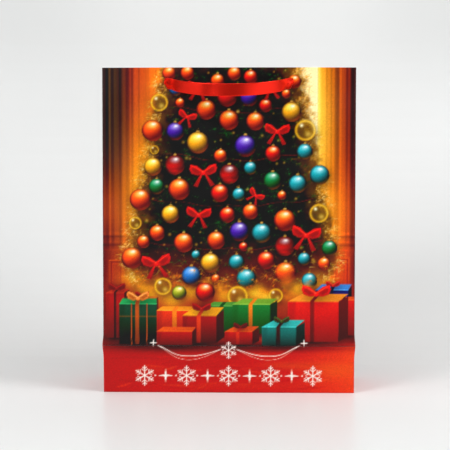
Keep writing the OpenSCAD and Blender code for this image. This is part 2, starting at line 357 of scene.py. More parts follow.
    # the tree
    def half(y):
        return np.interp(y, [0, 60, 130, 200, 236, 262], [84, 96, 110, 124, 132, 120])
    cx0 = 158.0
    n1 = field(c, rng, (9, 8), 5.0) + field(c, rng, (4, 4), 3.0)
    edge = half(Y) - np.abs(X - cx0) + n1
    bot = 268 + 5 * np.sin(X / 16.0) + n1 - Y
    tm = smooth(-5, 7, edge) * smooth(-6, 8, bot)
    c.glow(cx0 - 104, 120, 26, 80, rgb(255, 140, 20), 0.55)
    c.glow(cx0 + 104, 80, 22, 80, rgb(255, 180, 50), 0.66)
    c.glow(8, 172, 20, 42, rgb(255, 84, 6), 0.42)
    c.glow(288, 176, 26, 52, rgb(255, 96, 16), 0.42)
    c.glow(44, 150, 18, 60, rgb(255, 120, 20), 0.40)
    c.glow(cx0 + 116, 190, 22, 50, rgb(255, 150, 40), 0.55)
    c.glow(cx0 - 118, 190, 18, 46, rgb(255, 130, 30), 0.45)
    deep = grade([(0, rgb(40, 22, 10)), (0.5, rgb(18, 24, 13)), (1, rgb(26, 22, 10))], np.clip(Y / 260, 0, 1))
    deep = deep * (1 + 0.5 * field(c, rng, (14, 12), 1.0) + 0.3 * field(c, rng, (5, 5), 1.0))[..., None]
    warmth = smooth(34, 2, edge)[..., None]
    c.mix((slice(None), slice(None)), tm, np.clip(deep * (1 - warmth) + np.asarray(rgb(120, 74, 22), np.float32) * warmth, 0, 1))
    c.mix((slice(None), slice(None)), tm * smooth(70, 2, bot) * 0.72, rgb(150, 56, 10))
    greens = [rgb(18, 66, 34), rgb(26, 96, 50), rgb(50, 134, 70), rgb(14, 46, 24), rgb(84, 100, 34), rgb(20, 84, 54)]
    golds = [rgb(246, 176, 64), rgb(255, 206, 104), rgb(214, 128, 36), rgb(180, 120, 40), rgb(255, 228, 150)]
    browns = [rgb(96, 66, 26), rgb(70, 56, 24), rgb(130, 84, 30), rgb(40, 46, 22)]
    for _ in range(760):
        y = rng.uniform(-2, 262)
        hw = float(half(y))
        x = cx0 + rng.uniform(-1, 1) * hw
        e = hw - abs(x - cx0)
        cols = golds + browns if e < 13 else (greens + browns if e < 34 else greens)
        needles(c, rng, x, y, int(rng.integers(6, 12)), rng.uniform(4.5, 9), cols if y < 222 or rng.random() < 0.4 else golds[2:] + browns, 1.0, 1.5 * np.sign(x - cx0), 0.6, 0.62 if e > 13 else 0.72)
    for _ in range(330):
        y = rng.uniform(0, 262)
        q = rng.choice((-1, 1))
        x = cx0 + q * (float(half(y)) + rng.uniform(-10, 6))
        needles(c, rng, x, y, int(rng.integers(6, 10)), rng.uniform(4, 8.5), golds, 1.0, 3.0 * q, 0.6, 0.75)
    for _ in range(60):
        x = rng.uniform(70, 246)
        needles(c, rng, x, 262 + rng.uniform(-7, 6), 8, rng.uniform(4, 9), golds[2:] + browns, 1.0, 0, 0.6, 0.55)
    # garlands and far lights
    for y0, amp, x0, x1 in ((48, 7, 88, 232), (104, 9, 78, 244), (160, 9, 60, 258), (212, 10, 46, 270)):
        p = [(x, y0 + amp * math.sin((x - x0) / (x1 - x0) * math.pi) + 1.4 * math.sin(x / 9)) for x in np.linspace(x0, x1, 26)]
        c.path(p, 0.9, rgb(140, 18, 12), 0.55)
    for _ in range(150):
        y = rng.uniform(0, 262)
        x = cx0 + rng.uniform(-1, 1) * float(half(y))
        r = rng.uniform(0.5, 1.3)
        c.glow(x, y, r * 1.7, r * 1.7, rgb(255, 190, 80), 0.55)
    # glow under the branches
    for x, y, r, k in ((58, 276, 15, 0.6), (86, 284, 14, 0.8), (108, 276, 10, 0.6), (150, 280, 10, 0.6), (188, 276, 12, 0.85), (204, 284, 9, 0.9), (36, 258, 13, 0.5), (240, 272, 13, 0.6), (262, 262, 14, 0.55), (170, 288, 11, 0.5)):
        c.glow(x, y, r, r * 0.8, rgb(255, 166, 40), k)
    # baubles: placed by rejection so that none hides another
    orange, red, purple = rgb(250, 72, 14), rgb(226, 26, 12), rgb(74, 38, 160)
    teal, green, blue, gold = rgb(30, 150, 160), rgb(16, 120, 58), rgb(40, 110, 190), rgb(250, 168, 36)
    kinds = [(orange, "gloss", 0.33), (red, "gloss", 0.14), (purple, "pearl", 0.14), (teal, "pearl", 0.14), (green, "pearl", 0.10), (blue, "pearl", 0.07), (gold, "gloss", 0.08)]
    bows = [(118, 26, 11, 0.1), (206, 26, 10, -0.15), (104, 60, 9, 0.3), (214, 78, 12, 0.05), (124, 128, 13, -0.05), (118, 180, 12, 0.08), (250, 205, 14, 0.1), (66, 240, 14, -0.1), (188, 156, 8, 0.6)]
    placed = [(x, y, s * 1.05) for x, y, s, _ in bows]
    made = []
    tries = 0
    while len(made) < 66 and tries < 12000:
        tries += 1
        y = rng.uniform(6, 262)
        hw = float(half(y)) - 2
        x = cx0 + rng.uniform(-1, 1) * hw
        r = rng.choice((13.2, 12.0, 11.0, 9.6, 8.0, 5.6), p=(0.30, 0.32, 0.18, 0.10, 0.05, 0.05))
        if tries > 4500:
            r = rng.choice((8.0, 6.2, 4.6))
        if y < 30:
            r = min(r, 8.4)
        if any(math.hypot(x - a, y - b) < (r + s_) * 1.05 + 0.8 for a, b, s_ in placed):
            continue
        placed.append((x, y, r))
        made.append((x, y, r))
    made.sort(key=lambda q: q[1])
    last = None
    for x, y, r in made:
        e = float(half(y)) - abs(x - cx0)
        while True:
            i = rng.choice(len(kinds), p=np.array([k[2] for k in kinds]) / sum(k[2] for k in kinds))
            if i != last or i == 0:
                break
        last = i
        col, kind, _ = kinds[i]
        if e < 12 and rng.random() < 0.5:
            col, kind = (gold, "glass") if rng.random() < 0.6 else (orange, "gloss")
        if r > 11 and kind == "gloss" and rng.random() < 0.25:
            col, kind = red, "dark"
        bauble(c, x, y, r, col, kind)
    for x, y, s_, t in bows:
        bow(c, x, y, s_ * 1.3, turn=t)
    for _ in range(120):
        x0, y0, r0 = made[rng.integers(len(made))]
        t = rng.uniform(0, 6.28)
        needles(c, rng, x0 + r0 * math.cos(t), y0 + r0 * abs(math.sin(t)) * 0.9, 4, 4.5, greens[1:] + browns[:2], 0.6, 0, 0.5, 0.5)
    for _ in range(46):
        x = cx0 + rng.uniform(-1, 1) * 118
        y = 258 + rng.uniform(-16, 12)
        needles(c, rng, x, y, 9, rng.uniform(5, 11), [rgb(255, 140, 20), rgb(255, 100, 10), rgb(220, 90, 16), rgb(255, 186, 60)], 1.0, 0, 0.7, 0.55)
    for _ in range(22):
        c.glow(cx0 + rng.uniform(-1, 1) * 112, 262 + rng.uniform(-8, 20), rng.uniform(4, 9), rng.uniform(3, 6), rgb(255, 110, 10), 0.45)
    # fallen baubles and presents
    rd, gr, tl, nb, go = rgb(220, 38, 16), rgb(20, 92, 54), rgb(20, 120, 112), rgb(30, 30, 96), rgb(240, 150, 36)
    present(c, 4, 276, 22, 56, 5, rgb(176, 26, 16), rgb(214, 60, 28), rgb(60, 10, 8), 6, rgb(130, 14, 10), 11)
    present(c, 30, 284, 34, 30, 4, rgb(210, 60, 18), rgb(250, 130, 44), rgb(120, 30, 14), 4, rgb(180, 28, 14), 9)
    present(c, 262, 272, 40, 34, 7, nb, rgb(70, 140, 226), rgb(24, 20, 60), 4, rgb(200, 40, 28), 9)
    present(c, 284, 284, 26, 44, 4, rgb(200, 36, 20), rgb(236, 84, 36), rgb(40, 10, 8))
    bauble(c, 74, 268, 11, gold, "glass", False)
    bauble(c, 94, 276, 9, rgb(150, 160, 40), "gloss", False)
    bauble(c, 126, 275, 12, red, "gloss", False)
    bauble(c, 166, 280, 13, gold, "glass", False)
    bauble(c, 213, 279, 9, gold, "glass", False)
    present(c, 66, 298, 46, 34, 5, rgb(222, 56, 18), rgb(255, 150, 40), rgb(240, 120, 36), 4)
    present(c, 128, 292, 38, 34, 5, rgb(34, 104, 48), rgb(84, 150, 60), rgb(30, 70, 36), 6)
    present(c, 160, 290, 46, 36, 7, rgb(30, 116, 50), rgb(120, 170, 54), rgb(234, 120, 30), 9, None, 8, 0.5)
    present(c, 20, 290, 46, 50, 7, rgb(14, 74, 54), rgb(44, 160, 86), rgb(196, 84, 34), 0, None, 8, 0.30, True, (0.30,))
    c.line((35, 290), (35, 340), 1.2, rgb(196, 80, 34), 0.9)
    c.line((54, 290), (54, 340), 1.2, rgb(196, 80, 34), 0.9)
    bow(c, 43, 283, 14, rgb(250, 132, 56), 0.0, rgb(130, 50, 16), tails=False)
    present(c, 98, 304, 42, 34, 10, rgb(166, 22, 12), rgb(255, 172, 40), rgb(226, 66, 26), 9, rgb(150, 14, 10), 12, 0.42)
    present(c, 66, 324, 44, 17, 6, rgb(176, 26, 14), rgb(232, 84, 28), None, 5)
    present(c, 150, 324, 34, 16, 7, rgb(190, 28, 16), rgb(232, 84, 30), rgb(220, 56, 22), 9, rgb(96, 12, 8), 9)
    present(c, 228, 286, 62, 50, 9, rgb(226, 40, 18), rgb(255, 150, 48), rgb(130, 14, 10), 12, rgb(236, 34, 18), 18, 0.58)
    present(c, 196, 318, 42, 23, 9, tl, rgb(60, 196, 190), rgb(66, 14, 10), 11, rgb(54, 74, 30), 10, 0.40)
    # a plain white frost ornament along the foot
    wcol = (1.0, 0.95, 0.92)
    for sgn in (-1, 1):
        for y0, amp, wd_, al in ((346, 8.5, 1.0, 0.92), (346, 13.0, 0.7, 0.6)):
            p = [(155 + sgn * u, y0 + amp * math.sin((u - 10) / 78 * math.pi) - 5.0 * smooth(60, 88, u)) for u in np.linspace(10, 88, 34)]
            c.path(p, wd_, wcol, al, False, 0.5)
        star(c, 155 + sgn * 93, 338, 5.5, wcol, 0.9, 4)
    snowflake(c, 155, 347, 10.5, 1.15, wcol, 0.95, 6, math.pi / 6)
    for i, x in enumerate(np.linspace(51, 259, 9)):
        if i % 2 == 0:
            snowflake(c, x, 379, 12.2, 1.35, wcol, 0.97, 6, math.pi / 6)
        else:
            star(c, x, 379, 9.5, wcol, 0.97, 4)
    for i, x in enumerate(np.linspace(64, 246, 8)):
        k = c.win(x - 2, x + 2, 377, 381)
        c.mix(k, np.clip((1.1 - np.hypot(c.X[k] - x, c.Y[k] - 379)) * 2 + 0.5, 0, 1) * 0.9, wcol)
    # painted shade: the picture is a little darker below the score, where the band leans in, with a painted shadow line
    # along the score; the light line just below it is wear of the print
    yc = H_MM - HC * 1000
    # painted shade: the band below the score is made 5% darker
    c.a *= (1 - 0.05 * smooth(yc, yc + 1.0, Y))[..., None]
    # painted shadow line along the score
    c.a *= (1 - 0.20 * np.exp(-((Y - yc) / 0.75) ** 2))[..., None]
    # worn light line of the print just below the score
    c.a += (0.10 * np.exp(-((Y - yc - 1.5) / 0.7) ** 2))[..., None] * np.asarray((1.0, 0.45, 0.35), np.float32)
    # grain of the printed picture
    c.a *= (1 + 0.035 * rng.standard_normal((c.ny, c.nx)).astype(np.float32))[..., None]
    c.a = np.clip(c.a, 0, 1)
    return c


def paint_side(seed=29):
    """The gussets carry on the panelled wall and the red floor, with a few lights."""
    rng = np.random.default_rng(seed)
    c = Canvas(D_MM, H_MM)
    X, Y = c.X, c.Y
    tone = grade([(0, rgb(66, 30, 18)), (8, rgb(120, 50, 24)), (28, rgb(150, 64, 28)), (57, rgb(176, 84, 34)), (86, rgb(146, 62, 28)), (106, rgb(104, 60, 38)), (115, rgb(70, 46, 30))], X)
    low = grade([(0, rgb(96, 28, 16)), (30, rgb(168, 46, 20)), (57, rgb(196, 62, 24)), (85, rgb(160, 42, 20)), (115, rgb(100, 28, 16))], X)
    f = smooth(60, 230, Y)[..., None]
    c.a[:] = tone * (1 - f) + low * f
    g = np.zeros(c.nx)
    for w_, amp in ((20, 0.07), (60, 0.07), (110, 0.05)):
        g = g + np.interp(np.arange(c.nx), np.linspace(0, c.nx, w_), rng.uniform(-amp, amp, w_))
    c.a *= (1 + g)[None, :, None]
    for x, w_, k in ((9, 1.6, 0.6), (15, 1.0, 1.2), (24, 1.8, 0.66), (40, 1.0, 0.8), (74, 1.0, 0.8), (90, 1.8, 0.66), (99, 1.0, 1.2), (106, 1.6, 0.6)):
        c.a *= (1 + (k - 1) * np.exp(-((X - x) / w_) ** 4) * smooth(228, 205, Y))[..., None]
    c.glow(57, 90, 24, 90, rgb(255, 150, 50), 0.30)
    for y, h_, k in ((203, 2.2, 1.4), (206.5, 1.4, 0.55), (213, 1.0, 1.2), (217, 1.6, 0.62), (320, 1.4, 1.3), (323, 1.6, 0.5)):
        c.a = np.clip(c.a * (1 + (k - 1) * np.exp(-((Y - y) / h_) ** 2))[..., None], 0, 1)
    for d_, cc in ((0, rgb(230, 88, 36)), (2.4, rgb(90, 20, 12)), (4.4, rgb(206, 60, 26))):
        c.path([(22 + d_, 312 - d_), (22 + d_, 230 + d_), (93 - d_, 230 + d_), (93 - d_, 312 - d_), (22 + d_, 312 - d_)], 0.9, cc, 0.7)
    fl = grade([(0, rgb(214, 52, 26)), (57, rgb(206, 36, 24)), (115, rgb(196, 32, 24))], X)
    c.mix((slice(None), slice(None)), smooth(330, 343, Y), fl)
    for _ in range(40):
        x, y, l = rng.uniform(-10, 115), rng.uniform(343, 398), rng.uniform(14, 40)
        p = [(x + l * t, y + 2.2 * math.sin(2.2 * t + x)) for t in np.linspace(0, 1, 6)]
        c.path(p, rng.uniform(0.8, 3.0), rgb(150, 16, 12) if rng.random() < 0.5 else rgb(250, 92, 40), rng.uniform(0.08, 0.22), True, 1.6)
    for _ in range(26):
        c.glow(rng.uniform(6, 109), rng.uniform(8, 200), 1.6, 1.6, rgb(255, 200, 110), 0.5)
    c.a = np.clip(c.a * (1 + 0.035 * rng.standard_normal((c.ny, c.nx)).astype(np.float32))[..., None], 0, 1)
    return c


def linear(a):
    a = np.clip(a, 0, 1)
    return np.where(a <= 0.04045, a / 12.92, ((a + 0.055) / 1.055) ** 2.4)


FRONT = paint_front()
SIDE = paint_side()


# ---------------------------------------------------------------- materials
def nodes_of(name):
    m = bpy.data.materials.new(name)
    m.use_nodes = True
    nt = m.node_tree
    return m, nt, nt.nodes["Principled BSDF"]


def noise_node(nt, scale, detail=3.0, rough=0.5, coords=None, stretch=None):
    n = nt.nodes.new("ShaderNodeTexNoise")
    n.inputs["Scale"].default_value = scale
    n.inputs["Detail"].default_value = detail
    n.inputs["Roughness"].default_value = rough
    if coords is None:
        coords = nt.nodes.new("ShaderNodeTexCoord").outputs["Object"]
    if stretch is not None:
        mp = nt.nodes.new("ShaderNodeMapping")
        mp.inputs["Scale"].default_value = stretch
        nt.links.new(coords, mp.inputs["Vector"])
        coords = mp.outputs["Vector"]
    nt.links.new(coords, n.inputs["Vector"])
    return n


def ramp(nt, src, lo, hi, a=0.0, b=1.0):
    r = nt.nodes.new("ShaderNodeMapRange")
    r.inputs["From Min"].default_value, r.inputs["From Max"].default_value = a, b
    r.inputs["To Min"].default_value, r.inputs["To Max"].default_value = lo, hi
    nt.links.new(src, r.inputs["Value"])
    return r.outputs["Result"]


def bump(nt, bsdf, src, strength, dist, normal=None):
    b = nt.nodes.new("ShaderNodeBump")
    b.inputs["Strength"].default_value = strength
    b.inputs["Distance"].default_value = dist
    nt.links.new(src, b.inputs["Height"])
    if normal is not None:
        nt.links.new(normal, b.inputs["Normal"])
    nt.links.new(b.outputs["Normal"], bsdf.inputs["Normal"])
    return b.outputs["Normal"]


def mat_print():
    m, nt, b = nodes_of("laminated_print")
    at = nt.nodes.new("ShaderNodeVertexColor")
    at.layer_name = "print"
    n = noise_node(nt, 900, 2)
    mul = nt.nodes.new("ShaderNodeMix")
    mul.data_type = "RGBA"
    mul.blend_type = "MULTIPLY"
    mul.inputs["Factor"].default_value = 1.0
    nt.links.new(at.outputs["Color"], mul.inputs["A"])
    v = ramp(nt, n.outputs["Fac"], 0.90, 1.10, 0.3, 0.7)
    nt.links.new(v, mul.inputs["B"])
    nt.links.new(mul.outputs["Result"], b.inputs["Base Color"])
    r = noise_node(nt, 22, 4, 0.6)
    nt.links.new(ramp(nt, r.outputs["Fac"], 0.34, 0.50, 0.3, 0.7), b.inputs["Roughness"])
    b.inputs["Specular IOR Level"].default_value = 0.24
    b.inputs["Coat Weight"].default_value = 0.02
    b.inputs["Coat Roughness"].default_value = 0.22
    w = noise_node(nt, 260, 3, 0.6)
    nrm = bump(nt, b, w.outputs["Fac"], 0.10, 0.0004)
    w2 = noise_node(nt, 9, 2, 0.5)
    bump(nt, b, w2.outputs["Fac"], 0.16, 0.004, nrm)
    return m


def mat_paper(name, col, rough=0.85, fibre=1.0):
    m, nt, b = nodes_of(name)
    n = noise_node(nt, 140, 6, 0.7, stretch=(1, 1, 0.5))
    f = noise_node(nt, 1400, 3, 0.7)
    mx = nt.nodes.new("ShaderNodeMix")
    mx.data_type = "RGBA"
    nt.links.new(ramp(nt, n.outputs["Fac"], 0, 1, 0.35, 0.65), mx.inputs["Factor"])
    mx.inputs["A"].default_value = (*[c * 0.93 for c in col], 1)
    mx.inputs["B"].default_value = (*[min(1, c * 1.03) for c in col], 1)
    m2 = nt.nodes.new("ShaderNodeMix")
    m2.data_type = "RGBA"
    m2.blend_type = "MULTIPLY"
    m2.inputs["Factor"].default_value = 1.0
    nt.links.new(mx.outputs["Result"], m2.inputs["A"])
    nt.links.new(ramp(nt, f.outputs["Fac"], 1 - 0.10 * fibre, 1 + 0.04 * fibre, 0.3, 0.7), m2.inputs["B"])
    nt.links.new(m2.outputs["Result"], b.inputs["Base Color"])
    nt.links.new(ramp(nt, n.outputs["Fac"], rough - 0.06, rough + 0.06, 0.3, 0.7), b.inputs["Roughness"])
    b.inputs["Specular IOR Level"].default_value = 0.25
    bump(nt, b, f.outputs["Fac"], 0.25, 0.0003 * fibre)
    return m


def mat_red_print():
    m, nt, b = nodes_of("red_print")
    n = noise_node(nt, 18, 5, 0.6, stretch=(0.5, 2.5, 1))
    mx = nt.nodes.new("ShaderNodeMix")
    mx.data_type = "RGBA"
    nt.links.new(ramp(nt, n.outputs["Fac"], 0, 1, 0.35, 0.65), mx.inputs["Factor"])
    mx.inputs["A"].default_value = (0.42, 0.016, 0.008, 1)
    mx.inputs["B"].default_value = (0.72, 0.040, 0.014, 1)
    nt.links.new(mx.outputs["Result"], b.inputs["Base Color"])
    r = noise_node(nt, 30, 4)
    nt.links.new(ramp(nt, r.outputs["Fac"], 0.34, 0.52, 0.3, 0.7), b.inputs["Roughness"])
    w = noise_node(nt, 260, 3, 0.6)
    bump(nt, b, w.outputs["Fac"], 0.12, 0.0004)
    return m


def mat_satin():
    m, nt, b = nodes_of("red_satin")
    uv = nt.nodes.new("ShaderNodeUVMap")
    uv.uv_map = "band"
    wv = nt.nodes.new("ShaderNodeTexWave")
    wv.wave_type = "BANDS"
    wv.bands_direction = "Y"
    wv.inputs["Scale"].default_value = 3.0
    wv.inputs["Distortion"].default_value = 0.6
    wv.inputs["Detail"].default_value = 2.0
    nt.links.new(uv.outputs["UV"], wv.inputs["Vector"])
    nz = noise_node(nt, 6, 4, 0.6, uv.outputs["UV"], (0.7, 14, 1))
    fine = noise_node(nt, 60, 2, 0.6, uv.outputs["UV"], (1, 5, 1))
    mx = nt.nodes.new("ShaderNodeMix")
    mx.data_type = "RGBA"
    nt.links.new(ramp(nt, nz.outputs["Fac"], 0.35, 0.65, 0.3, 0.7), mx.inputs["Factor"])
    mx.inputs["A"].default_value = (0.86, 0.010, 0.005, 1)
    mx.inputs["B"].default_value = (0.96, 0.030, 0.014, 1)
    nt.links.new(mx.outputs["Result"], b.inputs["Base Color"])
    nt.links.new(ramp(nt, fine.outputs["Fac"], 0.24, 0.31, 0.3, 0.7), b.inputs["Roughness"])
    b.inputs["Metallic"].default_value = 0.82
    b.inputs["Specular IOR Level"].default_value = 0.55
    b.inputs["Specular Tint"].default_value = (1.0, 0.45, 0.32, 1)
    b.inputs["Anisotropic"].default_value = 0.6
    b.inputs["Sheen Weight"].default_value = 0.15
    b.inputs["Sheen Roughness"].default_value = 0.35
    b.inputs["Sheen Tint"].default_value = (1.0, 0.35, 0.25, 1)
    n1 = bump(nt, b, wv.outputs["Fac"], 0.015, 0.0001)
    bump(nt, b, fine.outputs["Fac"], 0.03, 0.0001, n1)
    return m


PRINT = mat_print()
WHITE = mat_paper("uncoated_paper_back", (0.83, 0.82, 0.80), 0.82, 1.0)
CARD = mat_paper("grey_board", (0.56, 0.55, 0.52), 0.9, 2.0)
REDP = mat_red_print()
SATIN = mat_satin()

for node, mat in (("bottom_inner_flap", WHITE), ("dust_flap_left", WHITE), ("dust_flap_right", WHITE),
                  ("bottom_card", CARD)):
    o = frame["nodes"][node]
    for s in o.material_slots:
        s.material = mat
    if not o.material_slots:
        o.data.materials.append(mat)


# ---------------------------------------------------------------- the paper's outer surface, in metres
def corner_out(z):
    """How far a corner edge stands out at the score line."""
    return 0.0012 * np.exp(-((z - HC) / 0.009) ** 2)


def face_out(x, z, front=True):
    """How far the front or rear face bows out of its flat plane."""
    u = np.clip(np.abs(x) / XO, 0, 1)
    bow_ = (1 - u ** 2) ** 1.0
    top = 0.0026 * smooth(0.18, 0.40, z)
    mid = 0.0010 * np.exp(-((z - 0.22) / 0.06) ** 2) * np.cos(2.2 * x / XO)
    # below the score the band leans in towards the base
    low = np.clip(1 - z / HC, 0, 1) * np.where(front, 1.0, 0.0)
    wave = (0.00035 * np.sin(x * 41 + 1.3) * np.sin(z * 27 + 0.5) + 0.00025 * np.sin(x * 77 - z * 33)) * smooth(0.0, 0.03, np.abs(z - HC))
    return bow_ * (top + mid + wave) - low * (0.0024 - 0.0010 * bow_)


def gusset_in(y, z):
    """How far the side face is drawn in towards its middle crease."""
    v = 0.0022 * smooth(HC * 0.9, HH, z) ** 1.1
    k = np.clip(1 - np.abs(y) / YO, 0, 1)
    return v * k - corner_out(z) * (1 - k) - 0.0006 * np.sin(np.pi * k) * smooth(0.02, 0.12, z) * np.sin(z * 21)


EDGE = 0.0011


def front_point(sgn):
    def f(u, v):
        """u from -1 to 1 across, v = height."""
        x = u * (XO + corner_out(v))
        r = np.clip((np.abs(x) - (XO - EDGE)) / EDGE, 0, 1)
        y = YO + face_out(x, v, sgn < 0) - 0.00045 * r ** 2
        return np.stack([x, sgn * y, v + 0 * x], -1)
    return f


def side_point(sgn):
    def f(u, v):
        """u = y from front to rear."""
        r = np.clip((np.abs(u) - (YO - EDGE)) / EDGE, 0, 1)
        yy = u * (1 + face_out(XO, v, u < 0) / YO)
        x = XO - gusset_in(u, v) - 0.00030 * r ** 2
        return np.stack([sgn * x, yy, v + 0 * u], -1)
    return f


def inward(P, inside):
    """Unit vectors from a grid of points into the bag, from the grid's own normals."""
    du = np.gradient(P, axis=1)
    dv = np.gradient(P, axis=0)
    n = np.cross(du, dv)
    n /= np.maximum(np.linalg.norm(n, axis=-1, keepdims=True), 1e-12)
    s = np.sign(np.sum(n * inside, -1, keepdims=True))
    s[s == 0] = 1
    return n * s


def shell(name, body, P, cols, inside, thick=None, replaces=(), step=4, mats=None, offset=0.0):
    """A closed sheet of paper: a fine printed outer layer, a coarser plain inner layer, and the cut edge between them.
    P is a grid (rows, columns, 3) of points on the outer face; rows-1 and columns-1 are multiples of step."""
    thick = T if thick is None else thick
    nv, nu = P.shape[0] - 1, P.shape[1] - 1
    n = inward(P, np.asarray(inside, float))
    P = P + n * offset
    out = P.reshape(-1, 3)
    Q = (P + n * thick)[::step, ::step]
    mv, mu = Q.shape[0] - 1, Q.shape[1] - 1
    verts = np.concatenate([out, Q.reshape(-1, 3)])
    idx = np.arange((nv + 1) * (nu + 1)).reshape(nv + 1, nu + 1)
    jdx = np.arange((mv + 1) * (mu + 1)).reshape(mv + 1, mu + 1) + idx.size
    a = np.stack([idx[:-1, :-1], idx[:-1, 1:], idx[1:, 1:], idx[1:, :-1]], -1).reshape(-1, 4)
    b = np.stack([jdx[:-1, :-1], jdx[1:, :-1], jdx[1:, 1:], jdx[:-1, 1:]], -1).reshape(-1, 4)
    fn = np.cross(out[a[0, 1]] - out[a[0, 0]], out[a[0, 3]] - out[a[0, 0]])
    flip = np.dot(fn, np.asarray(inside, float)) > 0
    faces = [tuple(r) for r in (a[:, ::-1] if flip else a).tolist()] + [tuple(r) for r in (b[:, ::-1] if flip else b).tolist()]
    rim = []
    for k in range(mu):
        rim.append([*idx[0, k * step:(k + 1) * step + 1][::-1], jdx[0, k], jdx[0, k + 1]])
        rim.append([*idx[nv, k * step:(k + 1) * step + 1], jdx[mv, k + 1], jdx[mv, k]])
    for k in range(mv):
        rim.append([*idx[k * step:(k + 1) * step + 1, 0], jdx[k + 1, 0], jdx[k, 0]])
        rim.append([*idx[k * step:(k + 1) * step + 1, nu][::-1], jdx[k, mu], jdx[k + 1, mu]])
    rim = [[int(q) for q in (r[::-1] if flip else r)] for r in rim]
    faces += [tuple(r) for r in rim]
    me = bpy.data.meshes.new(name)
    me.from_pydata(verts.tolist(), [], faces)
    mats = mats or (PRINT, WHITE)
    me.materials.append(mats[0])
    me.materials.append(mats[1])
    mi = np.zeros(len(faces), np.int32)
    mi[len(a):len(a) + len(b)] = 1
    me.polygons.foreach_set("material_index", mi)
    sm = np.ones(len(faces), bool)
    sm[len(a) + len(b):] = False
    me.polygons.foreach_set("use_smooth", sm)
    if cols is not None:
        c = np.ones((len(verts), 4), np.float32)
        c[:, :3] = 0.8
        # the print runs round the folded edges
        ink = np.clip(linear(cols) * 1.10 - 0.017, 0.0015, 0.93)
        c[:out.shape[0], :3] = ink.reshape(-1, 3)
        c[out.shape[0]:, :3] = ink[::step, ::step].reshape(-1, 3)
        at = me.color_attributes.new("print", "FLOAT_COLOR", "POINT")
        at.data.foreach_set("color", c.ravel())
    me.update()
    o = bpy.data.objects.new(name, me)
    bpy.context.scene.collection.objects.link(o)
    if body:
        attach(o, body)
    if replaces:
        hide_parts(*replaces)
    return o


def front_cols(P, sgn):
    """The print at points on the front or rear face."""
    x = P[..., 0] * 1000 * (-sgn)
    return FRONT.at(np.clip(x + W_MM / 2, 0, W_MM), np.clip((HH - P[..., 2]) * 1000, 0, H_MM))


def side_cols(P, sgn):
    y = P[..., 1] * 1000 * sgn
    return SIDE.at(np.clip(y + D_MM / 2, 0, D_MM), np.clip((HH - P[..., 2]) * 1000, 0, H_MM))


def grid(f, u0, u1, nu, v0, v1, nv):
    u, v = np.meshgrid(np.linspace(u0, u1, nu + 1), np.linspace(v0, v1, nv + 1))
    return f(u, v)


# ---------------------------------------------------------------- panels
Pf = grid(front_point(-1), -1, 1, 292, HC + 0.00004, HH, 304)
shell("front_face", "front_wall", Pf, front_cols(Pf, -1), (0, 1, 0), replaces=("front_panel",))
Pl = grid(front_point(-1), -1, 1, 292, 0.0, HC - 0.00012, 56)
shell("front_lower_band", "front_lower_wall", Pl, front_cols(Pl, -1), (0, 1, 0), replaces=("front_lower_panel",))
Pr = grid(front_point(1), -1, 1, 248, 0.0, HH, 320)
shell("rear_face", "rear_wall", Pr, front_cols(Pr, 1), (0, -1, 0), replaces=("rear_panel",))

for s, nm in ((-1, "left"), (1, "right")):
    f = side_point(s)
    # both leaves in one sheet, with its lower rear edge on the diagonal crease
    top = grid(f, -YO, YO, 104, HC, HH, 320)
    o = shell("gusset_" + nm, None, top, side_cols(top, s), (-s, 0, 0))
    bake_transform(o)
    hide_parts("gusset_front_" + nm)
    # the rear corner below the score level: a triangle that belongs to the rear leaf
    def tri(u, v, rear, s=s, f=f):
        """u from 0 at the corner to 1 at the diagonal, v = height."""
        y = (YO - u * v * (YO / HC)) * (1 if rear else -1)
        return f(y, v)
    for rear, body, rep in ((True, "gusset_rear_%s_leaf" % nm, "gusset_rear_" + nm), (False, "corner_" + nm, "corner_fold_" + nm)):
        u, v = np.meshgrid(np.linspace(0, 1, 57), np.linspace(0.0016, HC, 57))
        P = tri(u, v, rear)
        shell(("rear" if rear else "front") + "_corner_" + nm, body, P, side_cols(P, s), (-s, 0, 0), replaces=(rep,))
    u, v = np.meshgrid(np.linspace(-1, 1, 105), np.linspace(0.0003, HC - 0.0002, 57))
    P = f(u * (YO - 0.0006) * (1 - v / HC), v)
    shell("base_end_" + nm + "_sheet", "end_" + nm, P, side_cols(P, s), (-s, 0, 0), replaces=("base_end_" + nm,))

# the gusset's glued edge, inside the rear
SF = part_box("side_seam_flap")
P = grid(front_point(1), -0.1475 / XO, float(SF[1][0]) / XO, 12, float(SF[0][2]), float(SF[1][2]), 160)
shell("seam_flap_sheet", "rear_wall", P, None, (0, -1, 0), replaces=("side_seam_flap",), mats=(WHITE, WHITE), offset=T + 0.00003)

ux, vy = np.meshgrid(np.linspace(-0.15455, 0.15455, 101), np.linspace(0, 1, 49))
yf = -(YO - T - 0.0002 + face_out(ux, np.zeros_like(ux)))
Pb = np.stack([ux, yf + vy * (YO - T - 0.00005 - yf) * 1.0, 0.00002 + 0.00015 * np.sin(ux * 60) ** 2 * np.sin(vy * np.pi)], -1)
shell("base_sheet", "base", Pb, None, (0, 0, 1), replaces=("bottom_panel",), mats=(REDP, WHITE))

# turned-in hems and the two boards behind them
for sgn, wall, pre in ((-1, "front_wall", "front"), (1, "rear_wall", "rear")):
    xs = 0.1446 / XO
    P = grid(front_point(sgn), -xs, xs, 240, HH - HEM, HH - 0.0002, 40)
    cc = FRONT.at(np.clip(P[..., 0] * 1000 * (-sgn) + W_MM / 2, 0, W_MM), np.clip((HH - P[..., 2]) * 1000, 0, H_MM))
    # the hem's printed face looks into the bag, so its sheet is built inside out
    ins = (0, -sgn, 0)
    n = inward(P, np.asarray(ins, float))
    shell(pre + "_hem_sheet", wall, P + n * (2 * T), cc, (0, sgn, 0), replaces=(pre + "_top_hem",), mats=(PRINT, WHITE))
    P = grid(front_point(sgn), -0.1405 / XO, 0.1405 / XO, 144, HH - 0.035, HH - 0.001, 24)
    shell(pre + "_board", wall, P, None, ins, 0.0007, (pre + "_top_card",), 4, (CARD, CARD), 2 * T + 0.00005)
